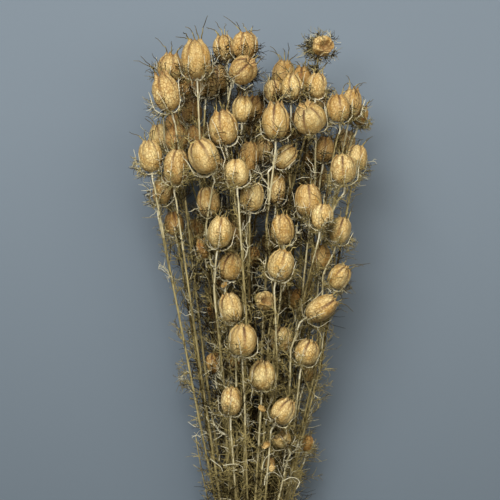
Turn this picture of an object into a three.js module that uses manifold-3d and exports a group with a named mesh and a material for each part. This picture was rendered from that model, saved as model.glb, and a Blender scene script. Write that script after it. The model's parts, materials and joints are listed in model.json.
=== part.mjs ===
// A gathered bunch of dried nigella (love-in-a-mist): branched stems, each ending in a ribbed
// seed pod that sits in a claw of thread-like bracts, held by one plain twine tie. The bunch lies
// on a surface, z = 0, with its heads towards +Y and its cut ends towards -Y. Millimetres.
import * as THREE from "three";
import { mergeVertices } from "three/addons/utils/BufferGeometryUtils.js";
import Module from "manifold-3d";

const wasm = await Module();
wasm.setup();

// Driving dimensions

const TIE_Y = -80;
const TIE_INNER_RADIUS = 17.6;
const TIE_WALL = 2.4;
const TIE_WIDTH = 10;
const BUNDLE_RADIUS = 15.8;
const CUT_END_Y = -128;
const CUT_END_SPREAD = 20;
const STEM_RADIUS = 1.3;
const NECK_RADIUS = 0.85;
const NECK_LENGTH = 7;
const STEM_SIDES = 3;
const LEAST_GAP = 0.5;

const POD_COLUMNS = 10;
const INNER_POD_COLUMNS = 5;
const VALLEY_DEPTH = 0.07;
const BRACTS_PER_POD = 3;
const BRACT_RADIUS = 0.62;
const OUTER_LEAST_Z = 58;
const LEAVES_PER_SPRAY = 1;

const STRAW = new THREE.MeshStandardMaterial({ color: 0xb9975a, roughness: 0.75, metalness: 0 });
const TWINE = new THREE.MeshStandardMaterial({ color: 0x9c7f52, roughness: 0.9, metalness: 0 });

// One row for each spray, which is one stem with the pods at its tips. A pod is
// [x, y, z, width, length, lean, nod]: its middle, its size, how far its tip leans from +Y
// towards +X, and how far it nods up towards +Z, in degrees. The first pod ends the main stem.
const SPRAYS = [
  // Pods on the upper face, from the top of the bunch to its foot
  [[-43, 352, 90, 25, 30, -3, 8], [-34, 336, 60, 19, 22, 4, 0]],
  [[-67, 325, 84, 22, 29, -16, 6]],
  [[-64, 347, 66, 20, 22, 6, 0], [-59, 290, 58, 19, 21, -6, 0]],
  [[-20, 362, 70, 18, 21, -8, 0], [-46, 292, 48, 17, 21, -5, 0]],
  [[-6, 362, 80, 21, 22, 2, 5], [-6, 313, 80, 18, 21, 3, 5]],
  [[-5, 342, 95, 22, 24, 44, 46]],
  [[6, 315, 62, 17, 21, 8, 0], [10, 280, 60, 17, 22, 5, 0]],
  [[-21, 295, 92, 22, 27, -8, 6]],
  [[-79, 275, 72, 20, 26, -6, 4], [-70, 249, 64, 17, 24, 12, 0]],
  [[-58, 267, 86, 21, 29, 5, 8]],
  [[-35, 276, 96, 26, 28, -24, 10]],
  [[-9, 261, 93, 20, 22, -2, -14]],
  [[-1, 274, 78, 18, 26, 6, 0], [-10, 211, 60, 16, 22, 0, 0]],
  [[-1, 245, 84, 20, 24, 6, 6]],
  [[-33, 239, 78, 18, 25, -5, 4]],
  [[-24, 214, 89, 20, 25, 8, 5], [-38, 201, 72, 12, 16, -12, 0]],
  [[-62, 222, 50, 16, 20, -8, 0], [-45, 215, 13, 18, 22, -6, 0]],
  [[-16, 184, 80, 20, 22, 14, 10]],
  [[24, 190, 90, 21, 24, 16, 8]],
  [[26, 215, 87, 19, 24, -4, 14]],
  [[-14, 156, 82, 19, 24, -12, 14]],
  [[13, 160, 76, 17, 18, 10, 50], [0, 195, 58, 13, 16, 4, 0]],
  [[-7, 130, 88, 23, 25, 1, 10]],
  [[46, 118, 66, 20, 21, 18, 10], [47, 101, 46, 15, 17, 14, 0]],
  [[57, 153, 76, 20, 27, 56, 10]],
  [[72, 179, 66, 19, 21, 34, 20], [38, 160, 52, 14, 18, 10, 0]],
  [[72, 216, 72, 18, 22, 16, 8], [58, 194, 62, 16, 21, 5, 4]],
  [[47, 240, 78, 21, 27, -3, 6], [57, 227, 93, 17, 21, 8, 6]],
  [[86, 274, 68, 18, 23, 8, 0], [74, 265, 85, 20, 24, -4, 12]],
  [[28, 275, 78, 16, 21, 48, 4], [22, 249, 64, 15, 24, 5, 0]],
  [[21, 302, 95, 23, 27, 0, 4]],
  [[48, 305, 92, 25, 26, -20, 42]],
  [[58, 363, 80, 18, 18, 24, 60]],
  [[33, 329, 86, 18, 20, 2, 4], [17, 328, 66, 15, 18, -4, 0]],
  [[42, 337, 66, 18, 21, 4, 0], [55, 332, 84, 17, 20, 6, 4]],
  [[68, 313, 84, 18, 22, -4, 8]],
  [[81, 318, 70, 17, 23, 8, 4], [90, 309, 54, 13, 16, 16, 0]],
  [[60, 281, 66, 16, 20, 6, 0], [50, 273, 52, 13, 16, 2, 0]],
  [[-29, 151, 50, 12, 15, -6, 0], [-25, 168, 12, 17, 20, -4, 0]],
  [[27, 128, 54, 19, 21, 8, 0]],
  [[-14, 108, 52, 14, 18, 4, 0], [-29, 108, 46, 14, 17, -4, 0]],
  [[10, 100, 81, 22, 23, 3, 12]],
  [[-15, 79, 77, 18, 23, 2, 6]],
  [[26, 69, 71, 20, 22, 32, 8]],
  [[26, 50, 64, 17, 17, -30, 12], [16, 26, 54, 8, 12, 10, 0]],
  [[47, 41, 34, 11, 14, 8, 0]],
  // Pods inside the bunch and on its under face
  [[-74, 292, 38, 18, 22, -12, 0], [-62, 258, 14, 19, 23, -8, 0]],
  [[-48, 314, 36, 18, 22, -8, 0], [-66, 300, 12, 19, 23, -10, 0]],
  [[-4, 350, 42, 18, 22, 2, 0], [-28, 342, 13, 20, 24, -4, 0]],
  [[-20, 264, 40, 18, 22, -3, 0], [-32, 296, 13, 18, 22, -6, 0]],
  [[35, 302, 40, 18, 22, 5, 0], [4, 306, 13, 19, 23, 0, 0]],
  [[78, 288, 38, 18, 22, 14, 0], [56, 262, 13, 18, 22, 8, 0]],
  [[-50, 336, 13, 19, 23, -6, 0]],
  [[28, 346, 14, 20, 24, 4, 0]],
  [[56, 328, 13, 19, 23, 10, 0]],
  [[22, 262, 13, 18, 22, 2, 0]],
  [[-8, 224, 13, 18, 22, 0, 0], [18, 208, 13, 16, 20, 6, 0]],
  [[30, 158, 12, 17, 20, 8, 0]],
];

// Seeded draws, so that the bunch comes out the same each time

let seedState = 20117;
function draw(low = 0, high = 1) {
  seedState = (seedState * 1664525 + 1013904223) % 4294967296;
  return low + ((high - low) * seedState) / 4294967296;
}

// Where the pods sit: the rows above, eased apart mostly up and down until none touch

const ON_SURFACE_Z = 15;
const POD_PASSES = 260;
const POD_GAP = 2.6;
const SIDE_EASE = 0.3;
const PUSH = 0.45;

const radians = (degrees) => (degrees * Math.PI) / 180;

function makePods() {
  const pods = [];
  SPRAYS.forEach((rows, spray) =>
    rows.forEach(([x, y, z, width, length, lean, nod], branch) => {
      const axis = new THREE.Vector3(
        Math.sin(radians(lean)) * Math.cos(radians(nod)),
        Math.cos(radians(lean)) * Math.cos(radians(nod)),
        Math.sin(radians(nod)),
      );
      const onSurface = z < ON_SURFACE_Z;
      const middle = new THREE.Vector3(x, y, onSurface ? width / 2 : z);
      pods.push({ spray, branch, middle, width, length, axis, onSurface });
    }),
  );
  return pods;
}

// A pod and the top of its stem, as a row of balls
function podBalls(pod) {
  const reach = Math.max((pod.length - pod.width) / 2, 0) + 0.5;
  const ball = (along, radius) => [pod.middle.clone().addScaledVector(pod.axis, along), radius];
  const body = [-reach, 0, reach].map((along) => ball(along, pod.width / 2));
  body.push(ball(0.72 * pod.length, 0.4 * pod.width));
  const neck = [NECK_LENGTH, 2 * NECK_LENGTH].map((drop) => ball(-pod.length / 2 - drop, 1.2));
  return [...body, ...neck];
}

function easePodsApart(pods) {
  for (let pass = 0; pass < POD_PASSES; pass++) {
    const moves = pods.map(() => new THREE.Vector3());
    const balls = pods.map(podBalls);
    for (let i = 0; i < pods.length; i++) {
      for (let j = i + 1; j < pods.length; j++) {
        for (const [a, radiusA] of balls[i]) {
          for (const [b, radiusB] of balls[j]) {
            const least = radiusA + radiusB + POD_GAP;
            const apart = a.clone().sub(b);
            const distance = apart.length();
            if (distance < least) {
              apart.multiplyScalar((PUSH * (least - distance)) / (3 * distance));
              moves[i].add(apart);
              moves[j].sub(apart);
            }
          }
        }
      }
    }
    pods.forEach((pod, i) => {
      pod.middle.x += moves[i].x * SIDE_EASE;
      pod.middle.y += moves[i].y * SIDE_EASE;
      if (!pod.onSurface) pod.middle.z = Math.max(pod.middle.z + moves[i].z, pod.width / 2);
    });
  }
}

// Where the stems run. A strand is the stem below one pod. It is followed at level stations
// along Y, and eased clear of the other strands and of the pods that it passes.

const STATION_FIRST_Y = -150;
const STATION_STEP = 10;
const STATIONS = 53;
const SEAT_PASSES = 300;
const STRAND_PASSES = 480;
const SMOOTHING = 0.3;
const STRAND_GAP = 3.7;
const PASSING_GAP = 3.6;
const FORK_DROP = 62;
const FORK_RELEASE = 30;
const FLARE = 0.011;
const FLOOR_GAP = 1.9;
const LAY_RISE = 0.1;
const MIDLINE_Z = TIE_INNER_RADIUS + TIE_WALL;

const stationY = (k) => STATION_FIRST_Y + STATION_STEP * k;
const TIE_STATION = Math.round((TIE_Y - STATION_FIRST_Y) / STATION_STEP);
const midlineZ = (y) => MIDLINE_Z + LAY_RISE * Math.max(y - TIE_Y, 0);
const podBase = (pod) => pod.middle.clone().addScaledVector(pod.axis, -pod.length / 2);
const podNeck = (pod) => podBase(pod).addScaledVector(pod.axis, -NECK_LENGTH);

// Each stem's seat inside the tie, laid out as its pod lies in the bunch, then eased apart
function tieSeats(pods) {
  const seats = pods.map((pod) => {
    const halfWidth = 17 + 0.215 * (pod.middle.y - TIE_Y);
    const halfDepth = 17 + 0.1 * (pod.middle.y - TIE_Y);
    const seat = new THREE.Vector2(
      pod.middle.x / halfWidth,
      (pod.middle.z - midlineZ(pod.middle.y)) / halfDepth,
    );
    return seat.multiplyScalar(BUNDLE_RADIUS).clampLength(0.01, 0.95 * BUNDLE_RADIUS);
  });
  const mains = seats.filter((_, i) => pods[i].branch === 0);
  for (let pass = 0; pass < SEAT_PASSES; pass++) {
    for (const a of mains) {
      for (const b of mains) {
        const apart = a.clone().sub(b);
        const distance = Math.max(apart.length(), 0.01);
        if (a === b || distance >= STRAND_GAP) continue;
        apart.multiplyScalar((0.4 * (STRAND_GAP - distance)) / distance);
        a.add(apart);
        b.sub(apart);
      }
    }
    mains.forEach((seat) => seat.clampLength(0, BUNDLE_RADIUS));
  }
  return seats.map((_, i) => seats[pods.findIndex((pod) => pod.spray === pods[i].spray)]);
}

function startStrands(pods) {
  const seats = tieSeats(pods);
  return pods.map((pod, index) => {
    const neck = podNeck(pod);
    const top = Math.floor((neck.y - 3 - STATION_FIRST_Y) / STATION_STEP);
    const { x: u, y: v } = seats[index];
    const x = [];
    const z = [];
    for (let k = 0; k < STATIONS; k++) {
      const y = stationY(k);
      const share = (y - TIE_Y) / (neck.y - TIE_Y);
      const flare = 1 + FLARE * Math.max(TIE_Y - y, 0);
      x.push(share > 0 ? u + (neck.x - u) * share : u * flare);
      z.push(MIDLINE_Z + (share > 0 ? v + (neck.z - MIDLINE_Z - v) * share : v * flare));
    }
    return { pod, index, neck, top, x, z, first: 0, parent: null };
  });
}

function joinForks(strands) {
  for (const strand of strands) {
    if (strand.pod.branch === 0) continue;
    strand.parent = strands.find((s) => s.pod.spray === strand.pod.spray && s.pod.branch === 0);
    const lower = Math.min(strand.neck.y, strand.parent.neck.y);
    strand.first = Math.round((lower - FORK_DROP - STATION_FIRST_Y) / STATION_STEP);
  }
}

// The least distance between two strands at a station, eased in above a shared fork
function leastBetween(a, b, k) {
  if (a.pod.spray !== b.pod.spray) return STRAND_GAP;
  const fork = Math.max(a.first, b.first);
  return STRAND_GAP * Math.min(1, ((k - fork) * STATION_STEP) / FORK_RELEASE);
}

function pushFromBall([middle, radius], strand, k, moveX, moveZ) {
  const beside = (radius + PASSING_GAP) ** 2 - (stationY(k) - middle.y) ** 2;
  if (beside <= 0) return;
  const dx = strand.x[k] - middle.x;
  const dz = strand.z[k] - middle.z;
  const distance = Math.max(Math.hypot(dx, dz), 0.01);
  const short = Math.sqrt(beside) - distance;
  if (short > 0) {
    moveX[k] += (0.5 * short * dx) / distance;
    moveZ[k] += (0.5 * short * dz) / distance;
  }
}

function easeStrands(pods, strands) {
  const balls = pods.map(podBalls);
  for (let pass = 0; pass < STRAND_PASSES; pass++) {
    const done = pass / STRAND_PASSES;
    const smoothing = done < 0.7 ? SMOOTHING : done < 0.88 ? 0.06 : 0.01;
    const moves = strands.map(() => [new Float64Array(STATIONS), new Float64Array(STATIONS)]);
    for (let i = 0; i < strands.length; i++) {
      const a = strands[i];
      const [moveX, moveZ] = moves[i];
      for (let k = a.first; k <= a.top; k++) {
        const nextX = k < a.top ? a.x[k + 1] : a.neck.x;
        const nextZ = k < a.top ? a.z[k + 1] : a.neck.z;
        const pull = k > 0 ? smoothing : 0;
        moveX[k] += pull * ((a.x[Math.max(k - 1, 0)] + nextX) / 2 - a.x[k]);
        moveZ[k] += pull * ((a.z[Math.max(k - 1, 0)] + nextZ) / 2 - a.z[k]);
        balls.forEach((row, p) => {
          if (pods[p] !== a.pod) row.forEach((ball) => pushFromBall(ball, a, k, moveX, moveZ));
        });
      }
      for (let j = i + 1; j < strands.length; j++) {
        const b = strands[j];
        const [otherX, otherZ] = moves[j];
        const last = Math.min(a.top, b.top);
        for (let k = Math.max(a.first, b.first); k <= last; k++) {
          const dx = a.x[k] - b.x[k];
          const dz = a.z[k] - b.z[k];
          const distance = Math.max(Math.hypot(dx, dz), 0.01);
          const short = leastBetween(a, b, k) - distance;
          if (short > 0) {
            const share = (PUSH * short) / distance;
            moveX[k] += share * dx;
            moveZ[k] += share * dz;
            otherX[k] -= share * dx;
            otherZ[k] -= share * dz;
          }
        }
      }
    }
    strands.forEach((s, i) => {
      for (let k = 0; k <= s.top; k++) {
        s.x[k] += moves[i][0][k];
        s.z[k] = Math.max(s.z[k] + moves[i][1][k], FLOOR_GAP);
        if (Math.abs(k - TIE_STATION) <= 1) {
          const off = Math.hypot(s.x[k], s.z[k] - MIDLINE_Z);
          const share = Math.min(1, BUNDLE_RADIUS / off);
          s.x[k] *= share;
          s.z[k] = MIDLINE_Z + (s.z[k] - MIDLINE_Z) * share;
        }
      }
    });
    for (const s of strands) {
      if (!s.parent) continue;
      for (let k = 0; k <= s.first; k++) {
        s.x[k] = s.parent.x[k];
        s.z[k] = s.parent.z[k];
      }
    }
  }
}

// A strand's points: from its cut end, or from its fork, to the base of its pod
function strandPoints(strand) {
  const points = [];
  const cutY = CUT_END_Y - CUT_END_SPREAD * ((strand.index * 0.618034) % 1);
  for (let k = strand.first; k <= strand.top; k++) {
    const y = stationY(k);
    if (y < cutY) continue;
    points.push(new THREE.Vector3(strand.x[k], y, strand.z[k]));
  }
  points.push(strand.neck.clone());
  points.push(podBase(strand.pod).addScaledVector(strand.pod.axis, 2));
  return points;
}

// Leaves out the points that a line through their neighbours already passes near
function thinned(points, tolerance) {
  if (points.length < 3) return points;
  const [start, end] = [points[0], points[points.length - 1]];
  const line = new THREE.Line3(start, end);
  let farthest = 0;
  let worst = tolerance;
  const nearest = new THREE.Vector3();
  for (let i = 1; i < points.length - 1; i++) {
    const off = line.closestPointToPoint(points[i], true, nearest).distanceTo(points[i]);
    if (off > worst) [farthest, worst] = [i, off];
  }
  if (!farthest) return [start, end];
  const head = thinned(points.slice(0, farthest + 1), tolerance);
  return [...head.slice(0, -1), ...thinned(points.slice(farthest), tolerance)];
}

// Solids

// A closed three.js geometry as a solid, its shared vertices merged and its faces outwards
function toSolid(geometry) {
  const bare = geometry.clone();
  bare.deleteAttribute("normal");
  bare.deleteAttribute("uv");
  const merged = mergeVertices(bare, 1e-4);
  const faces = [];
  const index = merged.index.array;
  for (let i = 0; i < index.length; i += 3) {
    const [a, b, c] = [index[i], index[i + 1], index[i + 2]];
    if (a !== b && b !== c && a !== c) faces.push(a, b, c);
  }
  const solid = new wasm.Manifold(
    new wasm.Mesh({
      numProp: 3,
      vertProperties: new Float32Array(merged.attributes.position.array),
      triVerts: new Uint32Array(faces),
    }),
  );
  return solid;
}

// A tube through points, with a radius at each; a last radius of 0 makes a point
function taperedTube(points, radii, sides) {
  const steps = points.length - 1;
  const geometry = new THREE.CylinderGeometry(1, 1, 1, sides, steps);
  const tangents = points.map((_, i) =>
    points[Math.min(i + 1, steps)].clone().sub(points[Math.max(i - 1, 0)]).normalize(),
  );
  const first = Math.abs(tangents[0].z) < 0.8 ? new THREE.Vector3(0, 0, 1) : new THREE.Vector3(1, 0, 0);
  let across = first;
  const frames = tangents.map((tangent) => {
    across = across.clone().addScaledVector(tangent, -across.dot(tangent)).normalize();
    return [across, tangent.clone().cross(across)];
  });
  const position = geometry.attributes.position;
  for (let i = 0; i < position.count; i++) {
    const row = Math.round((0.5 - position.getY(i)) * steps);
    const [u, v] = frames[row];
    const place = points[row]
      .clone()
      .addScaledVector(u, position.getX(i) * radii[row])
      .addScaledVector(v, position.getZ(i) * radii[row]);
    position.setXYZ(i, place.x, place.y, place.z);
  }
  return toSolid(geometry);
}

// The pod's outline from its base to its sunken top: [share of radius, share of length]
const POD_OUTLINE = [[0, 0], [0.76, 0.15], [1, 0.48], [0.62, 0.87], [0.32, 0.94], [0, 0.86]];
const CROWN_ROW = 4;
const HORN_RADIUS = [0.45, 0.8];
const HORN_HEIGHT = [1.24, 1.42];

// The directions across a pod, so that its ribs can be set out round its axis
function podFrame(pod) {
  const up = new THREE.Vector3(0, 0, 1);
  const across = up.clone().addScaledVector(pod.axis, -up.dot(pod.axis)).normalize();
  return [across, pod.axis.clone().cross(across)];
}

function podPoint(pod, angle, radiusShare, lengthShare) {
  const [u, v] = podFrame(pod);
  return podBase(pod)
    .addScaledVector(pod.axis, lengthShare * pod.length)
    .addScaledVector(u, (Math.cos(angle) * radiusShare * pod.width) / 2)
    .addScaledVector(v, (Math.sin(angle) * radiusShare * pod.width) / 2);
}

// The pods inside the bunch and on its under face are plainer
const isOuter = (pod) => pod.middle.z > OUTER_LEAST_Z;

// The ribbed capsule. At the top of every second column a horn stands up, the dry style.
function podBody(pod) {
  const profile = POD_OUTLINE.map(([r, h]) => new THREE.Vector2(r, h));
  const ribbed = isOuter(pod);
  const columns = ribbed ? POD_COLUMNS : INNER_POD_COLUMNS;
  const geometry = new THREE.LatheGeometry(profile, columns);
  const position = geometry.attributes.position;
  const rows = profile.length;
  const horns = Array.from({ length: columns }, () => [draw(...HORN_RADIUS), draw(...HORN_HEIGHT)]);
  for (let i = 0; i < position.count; i++) {
    const row = i % rows;
    const column = Math.floor(i / rows) % columns;
    const ridge = column % 2 === 0;
    let [radius, height] = POD_OUTLINE[row];
    if (ribbed && ridge && row === CROWN_ROW) [radius, height] = horns[column];
    else if (ribbed && !ridge) radius *= 1 - VALLEY_DEPTH;
    const angle = pod.spin + (2 * Math.PI * column) / columns;
    const place = podPoint(pod, angle, radius, height);
    position.setXYZ(i, place.x, place.y, place.z);
  }
  return toSolid(geometry);
}

// What each thin piece has to keep clear of: stems and pods of the other sprays, and the
// thin pieces placed before it. Each is a run of points with one radius.

const obstacles = [];

function nearestBetween(a, b, c, d) {
  const ab = b.clone().sub(a);
  const cd = d.clone().sub(c);
  const ca = a.clone().sub(c);
  const abab = Math.max(ab.dot(ab), 1e-9);
  const cdcd = Math.max(cd.dot(cd), 1e-9);
  const abcd = ab.dot(cd);
  const spread = abab * cdcd - abcd * abcd;
  let s = spread > 1e-9 ? (abcd * cd.dot(ca) - ab.dot(ca) * cdcd) / spread : 0;
  s = Math.min(Math.max(s, 0), 1);
  let t = Math.min(Math.max((abcd * s + cd.dot(ca)) / cdcd, 0), 1);
  s = Math.min(Math.max((abcd * t - ab.dot(ca)) / abab, 0), 1);
  const onAb = a.clone().addScaledVector(ab, s);
  const onCd = c.clone().addScaledVector(cd, t);
  return onAb.distanceTo(onCd);
}

function isClear(points, radius, spray) {
  if (points.some((p) => p.z < radius + 0.3)) return false;
  const box = new THREE.Box3().setFromPoints(points).expandByScalar(radius + LEAST_GAP);
  for (const other of obstacles) {
    if (other.spray === spray || !other.box.intersectsBox(box)) continue;
    for (let i = 0; i + 1 < points.length; i++) {
      for (let j = 0; j + 1 < other.points.length; j++) {
        const apart = nearestBetween(points[i], points[i + 1], other.points[j], other.points[j + 1]);
        if (apart < radius + other.radius + LEAST_GAP) return false;
      }
    }
  }
  return true;
}

function addObstacle(points, radius, spray) {
  const box = new THREE.Box3().setFromPoints(points).expandByScalar(radius);
  obstacles.push({ points, radius, spray, box });
}

// A pod's bract threads: from the base of the pod, out and up round its sides like a claw
function bractRoutes(pod) {
  const routes = [];
  for (let i = 0; i < BRACTS_PER_POD; i++) {
    const angle = pod.spin + (2 * Math.PI * (i + 0.5)) / BRACTS_PER_POD;
    const reach = draw(0.6, 0.9);
    const flare = draw(1.25, 1.45);
    routes.push([
      podPoint(pod, angle, 0, -0.03),
      podPoint(pod, angle, draw(1.0, 1.1), 0.1),
      podPoint(pod, angle + draw(-0.25, 0.25), flare, reach),
    ]);
  }
  return routes;
}

// Thread leaves that stand off a stem
function leafRoutes(points) {
  const routes = [];
  for (let i = 0; i < LEAVES_PER_SPRAY; i++) {
    const at = Math.min(points.length - 3, Math.floor(points.length * draw(0.3, 0.85)));
    const start = points[at].clone().lerp(points[at + 1], draw());
    const turn = draw(0, 2 * Math.PI);
    const out = draw(7, 13);
    routes.push([
      start,
      start.clone().add(new THREE.Vector3(Math.cos(turn) * out, draw(14, 24), Math.sin(turn) * out)),
    ]);
  }
  return routes;
}

function toGeometry(solid) {
  const mesh = solid.getMesh();
  const geometry = new THREE.BufferGeometry();
  const positions = new Float32Array(mesh.numVert * 3);
  for (let i = 0; i < mesh.numVert; i++) {
    positions.set(mesh.vertProperties.subarray(i * mesh.numProp, i * mesh.numProp + 3), i * 3);
  }
  geometry.setAttribute("position", new THREE.BufferAttribute(positions, 3));
  geometry.setIndex(new THREE.BufferAttribute(mesh.triVerts, 1));
  geometry.computeVertexNormals();
  return geometry;
}

// The bunch

const STEM_TOLERANCE = 0.5;

const bunch = new THREE.Group();
const pods = makePods();
easePodsApart(pods);
// A pod that lies on the surface has one of its ribs turned straight down
pods.forEach((pod, i) => (pod.spin = pod.onSurface ? Math.PI / 5 : (i * 0.618034) % 1));
const strands = startStrands(pods);
joinForks(strands);
easeStrands(pods, strands);

for (const strand of strands) {
  strand.points = thinned(strandPoints(strand), STEM_TOLERANCE);
  addObstacle(strand.points, STEM_RADIUS, strand.pod.spray);
  const pod = strand.pod;
  addObstacle([podPoint(pod, 0, 0, 0.42), podPoint(pod, 0, 0, 0.62)], pod.width / 2 + 0.6, pod.spray);
  addObstacle([podPoint(pod, 0, 0, 0.9), podPoint(pod, 0, 0, 1.42)], pod.width / 2, pod.spray);
}

const sprayCount = SPRAYS.length;
for (let spray = 0; spray < sprayCount; spray++) {
  const solids = [];
  const addThread = (route, radius) => {
    if (!isClear(route, radius, spray)) return;
    addObstacle(route, radius, spray);
    const radii = route.map((_, i) => (i === route.length - 1 ? 0 : radius));
    solids.push(taperedTube(route, radii, STEM_SIDES));
  };
  for (const strand of strands.filter((s) => s.pod.spray === spray)) {
    const last = strand.points.length - 1;
    const foot = strand.parent ? NECK_RADIUS + 0.2 : STEM_RADIUS;
    const radii = strand.points.map((_, i) => foot + ((NECK_RADIUS - foot) * i) / last);
    solids.push(podBody(strand.pod));
    solids.push(taperedTube(strand.points, radii, STEM_SIDES));
    if (isOuter(strand.pod)) {
      bractRoutes(strand.pod).forEach((route) => addThread(route, BRACT_RADIUS));
    }
    if (!strand.parent) leafRoutes(strand.points).forEach((route) => addThread(route, BRACT_RADIUS));
  }
  const mesh = new THREE.Mesh(toGeometry(wasm.Manifold.union(solids)), STRAW);
  mesh.name = "spray_" + String(spray + 1).padStart(2, "0");
  bunch.add(mesh);
}

// The tie: a flat-sided band round all the stems, which the bunch also rests on

function tieBand() {
  const sides = 16;
  const outer = TIE_INNER_RADIUS + TIE_WALL;
  const ring = (path, radius) => {
    for (let i = 0; i < sides; i++) {
      const angle = (2 * Math.PI * (i + 0.5)) / sides;
      const corner = radius / Math.cos(Math.PI / sides);
      const point = [corner * Math.cos(angle), corner * Math.sin(angle)];
      if (i === 0) path.moveTo(...point);
      else path.lineTo(...point);
    }
    path.closePath();
    return path;
  };
  const section = ring(new THREE.Shape(), outer);
  section.holes.push(ring(new THREE.Path(), TIE_INNER_RADIUS));
  const geometry = new THREE.ExtrudeGeometry(section, { depth: TIE_WIDTH, bevelEnabled: false });
  geometry.translate(0, 0, -TIE_WIDTH / 2);
  geometry.rotateX(Math.PI / 2);
  return geometry;
}

const tie = new THREE.Mesh(tieBand(), TWINE);
tie.name = "twine_tie";
tie.position.set(0, TIE_Y, TIE_INNER_RADIUS + TIE_WALL);
bunch.add(tie);

// The origin goes under the middle of the bunch, on the surface that it lies on
const extent = new THREE.Box3().setFromObject(bunch);
bunch.position.set(
  -(extent.min.x + extent.max.x) / 2,
  -(extent.min.y + extent.max.y) / 2,
  -extent.min.z,
);

export default bunch;
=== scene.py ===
"""The looks of a gathered bunch of dried nigella, lying on a pale surface with its pods up the view.

The pods and stems are laid out by the same rules and in the same order as the bunch's solids, in
millimetres, and then moved into the frame. Each spray is one piece: its ribbed pods, their curled
styles, the pale bract ribs that cup them, the stem, and the fine threads of its leaves.
"""

import json
import math

import bmesh
import bpy
import numpy as np
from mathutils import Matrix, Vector

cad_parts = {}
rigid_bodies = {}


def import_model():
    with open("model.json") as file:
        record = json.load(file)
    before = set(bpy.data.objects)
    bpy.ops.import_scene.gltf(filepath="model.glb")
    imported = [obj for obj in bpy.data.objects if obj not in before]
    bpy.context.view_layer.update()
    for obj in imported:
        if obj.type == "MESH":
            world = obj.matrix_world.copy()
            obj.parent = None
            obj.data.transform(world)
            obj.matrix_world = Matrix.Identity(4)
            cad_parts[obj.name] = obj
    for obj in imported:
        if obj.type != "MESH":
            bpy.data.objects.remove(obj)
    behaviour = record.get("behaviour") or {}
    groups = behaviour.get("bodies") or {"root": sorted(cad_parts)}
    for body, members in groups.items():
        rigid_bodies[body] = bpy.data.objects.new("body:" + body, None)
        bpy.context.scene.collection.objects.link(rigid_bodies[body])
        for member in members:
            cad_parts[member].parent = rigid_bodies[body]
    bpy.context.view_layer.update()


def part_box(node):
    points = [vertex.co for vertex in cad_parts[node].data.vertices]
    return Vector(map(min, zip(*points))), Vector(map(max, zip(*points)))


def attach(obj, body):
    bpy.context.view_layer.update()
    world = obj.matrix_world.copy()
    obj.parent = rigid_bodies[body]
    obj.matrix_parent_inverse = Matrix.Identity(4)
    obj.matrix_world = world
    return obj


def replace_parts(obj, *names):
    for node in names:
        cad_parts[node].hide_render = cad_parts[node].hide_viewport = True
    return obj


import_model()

MM = 0.001

# The bunch's own sizes, in millimetres

TIE_Y = -80
TIE_INNER_RADIUS = 17.6
TIE_WALL = 2.4
BUNDLE_RADIUS = 15.8
CUT_END_Y = -128
CUT_END_SPREAD = 20
NECK_LENGTH = 7
FLARE = 0.011

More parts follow.
